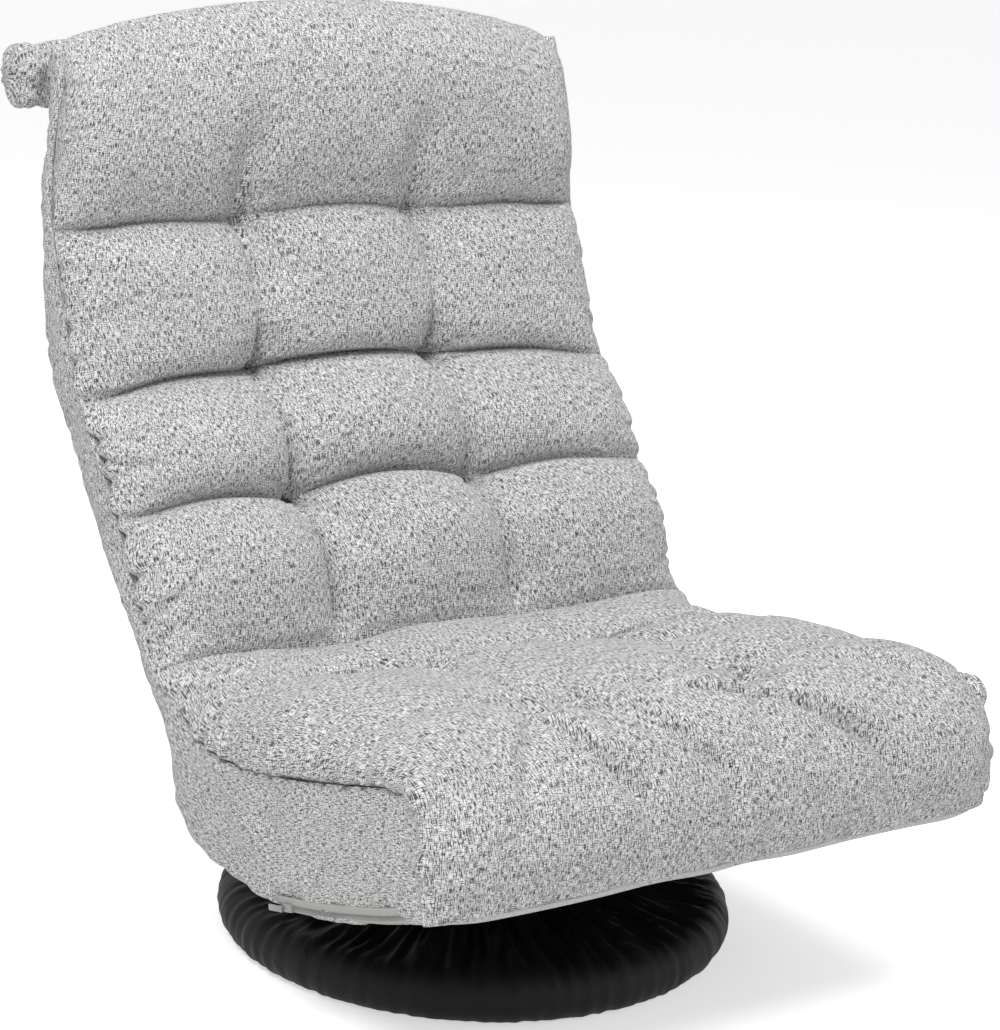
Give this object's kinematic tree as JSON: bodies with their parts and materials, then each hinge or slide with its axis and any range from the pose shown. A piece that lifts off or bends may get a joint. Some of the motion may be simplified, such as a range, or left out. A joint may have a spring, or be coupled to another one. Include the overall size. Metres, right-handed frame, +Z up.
{
  "type": "swivel floor chair",
  "caption": "Tufted upholstered floor chair that swivels on a low round covered base, with reclining back and tilting padded headrest.",
  "frame": {"origin": "on the floor under the swivel axis", "axes": "+Z up, -Y towards the front of the seat, +X to the sitter's left"},
  "size_m": [0.552, 0.7374, 0.7747],
  "materials": {
    "frame_paint": "black powder coat",
    "zinc_steel": "zinc plated",
    "foam": "open-cell cushion foam",
    "webbing": "elastic webbing",
    "upholstery": "heathered light grey linen-look weave",
    "base_cloth": "black nylon with a low sheen",
    "dust_cloth": "dark grey nonwoven",
    "zip_tape": "warm grey zip tape",
    "zip_metal": "grey enamel"
  },
  "bodies": {
    "base": {"base_ring": "frame_paint", "base_arms": "frame_paint", "base_sleeve": "foam", "base_cover": "base_cloth", "hub_plate": "frame_paint", "lower_race": "zinc_steel", "bearing_balls": "zinc_steel", "swivel_pin": "zinc_steel", "swivel_nut": "zinc_steel", "hub_rivets": "zinc_steel"},
    "seat": {"upper_race": "zinc_steel", "bracket_bolts": "zinc_steel", "swivel_bracket": "frame_paint", "seat_frame": "frame_paint", "seat_posts": "frame_paint", "seat_rails": "frame_paint", "seat_webbing": "webbing", "seat_foam": "foam", "seat_topper": "upholstery", "seat_cover": "upholstery", "dust_cover": "dust_cloth", "zip_tape": "zip_tape", "zip_slider": "zip_metal", "hinge_spacers": "zinc_steel", "back_hinge_rivets": "zinc_steel", "pawls": "zinc_steel", "pawl_pins": "zinc_steel", "pawl_springs": "zinc_steel", "inner_cheek_left": "zinc_steel", "inner_cheek_right": "zinc_steel", "outer_cheek_left": "zinc_steel", "outer_cheek_right": "zinc_steel"},
    "back": {"back_side_tubes": "frame_paint", "back_cross_tubes": "frame_paint", "back_webbing": "webbing", "back_foam": "foam", "back_cover": "upholstery", "back_topper": "upholstery", "head_hinge_rivets": "zinc_steel", "back_arm_left": "zinc_steel", "back_arm_right": "zinc_steel", "head_plate_left": "zinc_steel", "head_plate_right": "zinc_steel"},
    "head": {"head_frame": "frame_paint", "head_foam": "foam", "head_cover": "upholstery", "head_pillow": "upholstery", "head_roll": "upholstery", "neck_pads": "upholstery", "head_arm_left": "zinc_steel", "head_arm_right": "zinc_steel"}
  },
  "joints": [
    {"name": "seat_swivel", "type": "hinge", "parent": "base", "child": "seat", "pos_m": [0, 0, 0.081], "axis": [0, 0, 1], "continuous": true},
    {"name": "back_recline", "type": "hinge", "parent": "seat", "child": "back", "pos_m": [0, 0.0432, 0.18977], "axis": [-1, 0, 0], "range_deg": [-28, 62]},
    {"name": "head_tilt", "type": "hinge", "parent": "back", "child": "head", "pos_m": [0, 0.26815, 0.46955], "axis": [-1, 0, 0], "range_deg": [-35, 30], "deforming": ["neck_pads"]}
  ]
}
